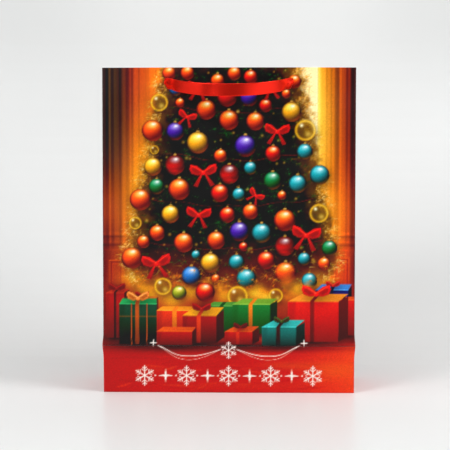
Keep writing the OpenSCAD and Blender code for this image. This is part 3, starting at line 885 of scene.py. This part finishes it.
for s, nm in ((-1, "left"), (1, "right")):
    f = side_point(s)
    for q, leaf in ((1, "rear"), (-1, "front")):
        y0, y1 = sorted((q * 0.0040, q * 0.0405))
        P = grid(f, y0, y1, 36, HH - HEM, HH - 0.0002, 40)
        n = inward(P, np.asarray((-s, 0, 0), float))
        shell("%s_%s_hem_sheet" % (leaf, nm), "gusset_%s_%s_leaf" % (leaf, nm), P + n * (2 * T), side_cols(P, s), (s, 0, 0), replaces=("hem_%s_%s" % (leaf, nm),))


# ---------------------------------------------------------------- ribbons
def strip(name, C, Wd, Nn, width, thick, pleat, rows, mat, tail_cut=False, across=18, cup=None):
    """A ribbon: C centreline points, Wd its width direction, Nn its face direction, width at each point, pleat = depth of the gathers."""
    n = len(C)
    verts, uvs = [], []
    L = np.concatenate([[0], np.cumsum(np.linalg.norm(np.diff(C, axis=0), axis=1))])
    w = np.linspace(-0.5, 0.5, across + 1)
    layers = []
    for side in (0.5, -0.5):
        lay = np.zeros((n, across + 1, 3))
        for i in range(n):
            fold = pleat[i] * np.sin(w * 2 * np.pi * rows + 0.6) + 0.35 * pleat[i] * np.sin(w * 2 * np.pi * (rows * 2.3) + 2.0)
            edge = 1 - 0.55 * (np.abs(w) > 0.49)
            if cup is not None:
                fold = fold - cup[i] * (2 * w) ** 2 * (1 - 0.25 * (2 * w) ** 4)
            lay[i] = C[i] + np.outer(w * width[i], Wd[i]) + np.outer(fold + side * thick * edge, Nn[i])
            if tail_cut and i == n - 1:
                d = (C[i] - C[i - 1]) / max(np.linalg.norm(C[i] - C[i - 1]), 1e-9)
                lay[i] += np.outer((np.abs(w) * 2 - 0.5) * 0.003, d)
        layers.append(lay)
    A, B = layers
    verts = np.concatenate([A.reshape(-1, 3), B.reshape(-1, 3)])
    m = across + 1
    ia = np.arange(n * m).reshape(n, m)
    ib = ia + n * m
    fa = np.stack([ia[:-1, :-1], ia[1:, :-1], ia[1:, 1:], ia[:-1, 1:]], -1).reshape(-1, 4)
    fb = np.stack([ib[:-1, :-1], ib[:-1, 1:], ib[1:, 1:], ib[1:, :-1]], -1).reshape(-1, 4)
    rim = [(ia[i, 0], ib[i, 0], ib[i + 1, 0], ia[i + 1, 0]) for i in range(n - 1)]
    rim += [(ia[i, -1], ia[i + 1, -1], ib[i + 1, -1], ib[i, -1]) for i in range(n - 1)]
    rim += [(ia[0, j], ia[0, j + 1], ib[0, j + 1], ib[0, j]) for j in range(m - 1)]
    rim += [(ia[-1, j], ib[-1, j], ib[-1, j + 1], ia[-1, j + 1]) for j in range(m - 1)]
    faces = [tuple(int(q) for q in r) for r in fa] + [tuple(int(q) for q in r) for r in fb] + [tuple(int(q) for q in r) for r in rim]
    me = bpy.data.meshes.new(name)
    me.from_pydata(verts.tolist(), [], faces)
    me.materials.append(mat)
    uv = me.uv_layers.new(name="band")
    U = np.zeros((2 * n * m, 2))
    U[:, 0] = np.tile(np.repeat(L / 0.015, m), 2)
    U[:, 1] = np.tile(w + 0.5, 2 * n)
    li = np.zeros(len(me.loops), np.int32)
    me.loops.foreach_get("vertex_index", li)
    uv.data.foreach_set("uv", U[li].astype(np.float32).ravel())
    me.polygons.foreach_set("use_smooth", np.ones(len(faces), bool))
    me.validate()
    me.update()
    o = bpy.data.objects.new(name, me)
    bpy.context.scene.collection.objects.link(o)
    return o, float(L[-1])


RB = {k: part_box(k) for k in ("front_ribbon", "rear_ribbon")}
DROOP = math.radians(11.5)
OUT = 0.055
RAD = (HX ** 2 + OUT ** 2) / (2 * OUT)
RIB_W = 0.015


def handle(pre, sgn):
    half_arc = math.asin(HX / RAD)
    N = 160
    t = np.linspace(-half_arc, half_arc, N)
    x = RAD * np.sin(t)
    fwd = RAD * np.cos(t) - (RAD - OUT)
    # from the mouth of the hole, straight out for a few millimetres
    ex, ef = [], []
    for k in (0.0042, 0.0030, 0.0018, 0.0008):
        ex.append(-HX + 0.0002 * k), ef.append(-k)
    x = np.concatenate([ex, x, [-q for q in ex[::-1]]])
    fwd = np.concatenate([ef, fwd, ef[::-1]])
    s = np.concatenate([[0], np.cumsum(np.hypot(np.diff(x), np.diff(fwd)))])
    end = np.minimum(s, s[-1] - s)
    x = x + np.sign(x) * 0.0030 * np.sin(np.pi * np.clip((end - 0.002) / 0.020, 0, 1)) ** 1.5
    open_ = np.sqrt(np.clip(1 - (1 - np.clip((end - 0.0020) / 0.0075, 0, 1)) ** 2, 0, 1))
    width = 0.0040 + (RIB_W - 0.0016 - 0.0040) * open_ + 0.0012 * smooth(0.012, 0.05, end)
    drop = -0.0036 * smooth(0.0015, 0.0060, end) - 0.0020 * smooth(0.012, 0.085, end)
    pleat = 0.0007 * (1 - smooth(0.004, 0.020, end))
    ct, st = math.cos(DROOP), math.sin(DROOP)
    F = np.array([0, sgn, 0.0])

    def world(x, f, w):
        """In the handle's own frame: x across, f forward, w up the ribbon's width."""
        return np.stack([x, sgn * (PIN + f * ct + w * st * 0 - w * (-st)), HZ - f * st + w * ct], -1)
    C = world(x, fwd, drop)
    tx, tf = np.gradient(x, s), np.gradient(fwd, s)
    tw = np.gradient(drop, s)
    Tn = np.stack([tx, sgn * (tf * ct + tw * st), -tf * st + tw * ct], -1)
    Tn /= np.linalg.norm(Tn, axis=1, keepdims=True)
    up = np.array([0, sgn * st, ct])
    up = np.tile(up, (len(x), 1))
    # the loop leans a little out at its lower edge, as a stiff ribbon does
    Nn = np.cross(Tn, up)
    Nn /= np.linalg.norm(Nn, axis=1, keepdims=True)
    out_ = np.stack([x / HX, np.full(len(x), sgn * 0.30), np.zeros(len(x))], -1)
    Nn *= np.sign(np.sum(Nn * out_, 1, keepdims=True) + 1e-9)
    Wd = np.cross(Nn, Tn)
    Wd /= np.linalg.norm(Wd, axis=1, keepdims=True)
    Wd *= np.sign(Wd[:, 2:3])
    q = s / s[-1]
    twist = -0.10 * np.exp(-((q - 0.26) / 0.10) ** 2) + 0.22 * np.exp(-((q - 0.47) / 0.13) ** 2) - 0.10 * np.exp(-((q - 0.74) / 0.11) ** 2)
    twist *= smooth(0.0, 0.12, q) * smooth(1.0, 0.88, q)
    Wd2 = Wd * np.cos(twist)[:, None] - Nn * np.sin(twist)[:, None]
    Nn2 = Nn * np.cos(twist)[:, None] + Wd * np.sin(twist)[:, None]
    cup = 0.0046 * smooth(0.002, 0.008, end) * (1 - smooth(0.010, 0.036, end))
    o, L = strip(pre + "_ribbon_band", C, Wd2, Nn2, width, 0.00055, pleat, 1.5, SATIN, across=26, cup=cup)
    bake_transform(o)
    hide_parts(pre + "_ribbon")
    return L


def knot(name, sgn, x, wall, rep=None):
    """A tied ribbon end inside the bag: a wrapped knot pulled against the board, with two cut tails."""
    y_in = YO - 2 * T - 0.0008 + face_out(np.array(x), np.array(HZ)).item()      # the board's inner face
    nu, nv = 56, 36
    u, v = np.meshgrid(np.linspace(0, 2 * np.pi, nu, endpoint=False), np.linspace(0.0, np.pi, nv))
    wrap = 0.16 * np.sin(2 * v * 2.2 + 1.5 * np.sin(u)) + 0.07 * np.sin(7 * v + 3 * u)
    crease = -0.20 * np.exp(-((np.sin(u - 1.2 * np.cos(v))) / 0.16) ** 2)
    R = 1 + 0.45 * wrap + crease
    X = 0.0056 * np.sin(v) * np.cos(u) * R
    Z = 0.0047 * np.sin(v) * np.sin(u) * R
    Yd = 0.0026 * np.cos(v) * (1 + 0.25 * wrap)
    P = np.stack([x + X, sgn * (y_in - 0.0030 - Yd), HZ + Z], -1)
    verts = P.reshape(-1, 3)
    idx = np.arange(nu * nv).reshape(nv, nu)
    faces = []
    for i in range(nv - 1):
        for j in range(nu):
            faces.append((int(idx[i, j]), int(idx[i, (j + 1) % nu]), int(idx[i + 1, (j + 1) % nu]), int(idx[i + 1, j])))
    me = bpy.data.meshes.new(name)
    me.from_pydata(verts.tolist(), [], faces)
    me.materials.append(SATIN)
    uv = me.uv_layers.new(name="band")
    li = np.zeros(len(me.loops), np.int32)
    me.loops.foreach_get("vertex_index", li)
    UV = np.stack([u.ravel() / 1.6, v.ravel() / 1.2], -1)
    uv.data.foreach_set("uv", UV[li].astype(np.float32).ravel())
    me.polygons.foreach_set("use_smooth", np.ones(len(faces), bool))
    me.validate()
    import bmesh
    bm = bmesh.new()
    bm.from_mesh(me)
    bmesh.ops.remove_doubles(bm, verts=bm.verts, dist=1e-6)
    bmesh.ops.recalc_face_normals(bm, faces=bm.faces)
    bm.to_mesh(me)
    bm.free()
    o = bpy.data.objects.new(name, me)
    bpy.context.scene.collection.objects.link(o)
    sub = o.modifiers.new("round", "SUBSURF")
    sub.levels = sub.render_levels = 1
    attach(o, wall)
    if rep:
        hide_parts(rep)
    for k in (-1, 1):
        n = 26
        tt = np.linspace(0, 1, n)
        C = np.stack([x + k * (0.0016 + 0.0052 * tt + 0.0008 * np.sin(tt * 5 + k)), sgn * (y_in - 0.0028 + 0.0018 * tt * (1 if k > 0 else 0.3) - 0.0010 * np.sin(tt * 4.0 + k)), HZ - 0.0022 - 0.0235 * tt], -1)
        Tn = np.gradient(C, axis=0)
        Tn /= np.linalg.norm(Tn, axis=1, keepdims=True)
        Nn = np.tile(np.array([0.25 * k, -sgn, 0.0]), (n, 1))
        Nn -= Tn * np.sum(Nn * Tn, 1, keepdims=True)
        Nn /= np.linalg.norm(Nn, axis=1, keepdims=True)
        Wd = np.cross(Tn, Nn)
        wd = 0.0042 + 0.0058 * smooth(0, 0.7, tt)
        pl = 0.0008 * (1 - smooth(0.1, 0.9, tt)) + 0.0001
        q, _ = strip("%s_tail_%s" % (name, "a" if k < 0 else "b"), C, Wd, Nn, wd, 0.0004, pl, 2, SATIN, True, 14)
        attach(q, wall)
        q_ = q
    return o


for sgn, pre, wall, body in ((-1, "front", "front_wall", "front_handle"), (1, "rear", "rear_wall", "rear_handle")):
    for k, side in ((-1, "left"), (1, "right")):
        knot("%s_ribbon_knot_%s" % (pre, side), sgn, k * HX, wall, pre + "_ribbon_knots" if k < 0 else None)
    print("ribbon", pre, handle(pre, sgn))


# ---------------------------------------------------------------- studio
def stage_mesh():
    """Pale sweep: a floor that curves up into the backdrop close behind the bag; its vertex tone carries painted light.
    """
    prof = [(-3.2, 0.0), (-1.5, 0.0), (-0.6, 0.0), (0.10, 0.0)]
    for a in np.linspace(0, math.pi / 2, 25)[1:]:
        prof.append((0.10 + 0.55 * math.sin(a), 0.55 * (1 - math.cos(a))))
    prof += [(0.65, 1.2), (0.65, 3.0)]
    xs = np.linspace(-3.0, 3.0, 121)
    prof = [q for a, b in zip(prof[:-1], prof[1:]) for q in [(a[0] + (b[0] - a[0]) * t, a[1] + (b[1] - a[1]) * t) for t in np.arange(0, 1, 0.125)]] + [prof[-1]]
    V = [(float(x), float(y), float(z) - 0.0002) for y, z in prof for x in xs]
    n = len(xs)
    F = [(j * n + i, j * n + i + 1, (j + 1) * n + i + 1, (j + 1) * n + i) for j in range(len(prof) - 1) for i in range(n - 1)]
    me = bpy.data.meshes.new("sweep")
    me.from_pydata(V, [], F)
    me.polygons.foreach_set("use_smooth", np.ones(len(F), bool))
    m, nt, b = nodes_of("studio_sweep")
    tone = me.color_attributes.new("tone", "FLOAT_COLOR", "POINT")
    vv = np.array(V)
    # painted light: the tone is darker high on the backdrop towards the sides and to the right, and lighter on the
    # floor in front of the bag, most near the middle
    k = 1 - 0.10 * smooth(0.14, 0.42, np.abs(vv[:, 0])) * smooth(0.34, 0.60, vv[:, 2]) - 0.03 * smooth(0.10, 0.40, vv[:, 0]) * smooth(0.34, 0.60, vv[:, 2])
    k *= 1 - 0.02 * smooth(0.1, 0.6, vv[:, 2])
    k *= 1 + 0.05 * smooth(0.02, -0.06, vv[:, 1]) + 0.03 * smooth(0.20, 0.05, np.abs(vv[:, 0])) * smooth(0.02, -0.06, vv[:, 1])
    col = np.ones((len(V), 4), np.float32)
    col[:, :3] = np.clip(k[:, None] * np.array([[0.755, 0.765, 0.760]]), 0, 1)
    tone.data.foreach_set("color", col.ravel())
    at = nt.nodes.new("ShaderNodeVertexColor")
    at.layer_name = "tone"
    nt.links.new(at.outputs["Color"], b.inputs["Base Color"])
    b.inputs["Roughness"].default_value = 0.32
    b.inputs["Specular IOR Level"].default_value = 0.10
    me.materials.append(m)
    o = bpy.data.objects.new("sweep", me)
    bpy.context.scene.collection.objects.link(o)
    return o


stage_mesh()
sc = bpy.context.scene
sc.view_settings.view_transform = "Standard"
sc.view_settings.look = "None"
w = bpy.data.worlds.new("studio")
sc.world = w
w.use_nodes = True
w.node_tree.nodes["Background"].inputs["Color"].default_value = (0.95, 0.98, 1.0, 1)
w.node_tree.nodes["Background"].inputs["Strength"].default_value = 0.12


def area(name, loc, target, size, power, col=(1, 1, 1)):
    l = bpy.data.lights.new(name, "AREA")
    l.shape = "RECTANGLE"
    l.size, l.size_y = size
    l.energy = power
    l.color = col
    o = bpy.data.objects.new(name, l)
    o.location = loc
    from mathutils import Vector
    o.rotation_euler = (Vector(target) - Vector(loc)).to_track_quat("-Z", "Y").to_euler()
    sc.collection.objects.link(o)
    return o


area("key", (-1.45, -1.55, 1.15), (0, 0, 0.20), (1.0, 1.2), 29)
area("fill", (1.95, -0.95, 1.1), (0, 0, 0.20), (1.1, 1.2), 37)
area("top", (0, -0.5, 2.1), (0, 0, 0.1), (1.8, 1.2), 16)

cam = bpy.data.cameras.new("camera")
co = bpy.data.objects.new("camera", cam)
sc.collection.objects.link(co)
cam.sensor_width = 36.0
cam.lens = 84.9
cam.clip_start, cam.clip_end = 0.05, 50
# found from the bag's corners in the photo, at 1.3 m
PITCH, YAW, ROLL = 0.0474, 0.0200, 0.0008
from mathutils import Matrix
co.matrix_world = (Matrix.Translation((0.02146, -(YO + 0.0015 + 1.30), 0.26958)) @ Matrix.Rotation(YAW, 4, "Z")
                   @ Matrix.Rotation(math.pi / 2 - PITCH, 4, "X") @ Matrix.Rotation(ROLL, 4, "Z"))
sc.camera = co
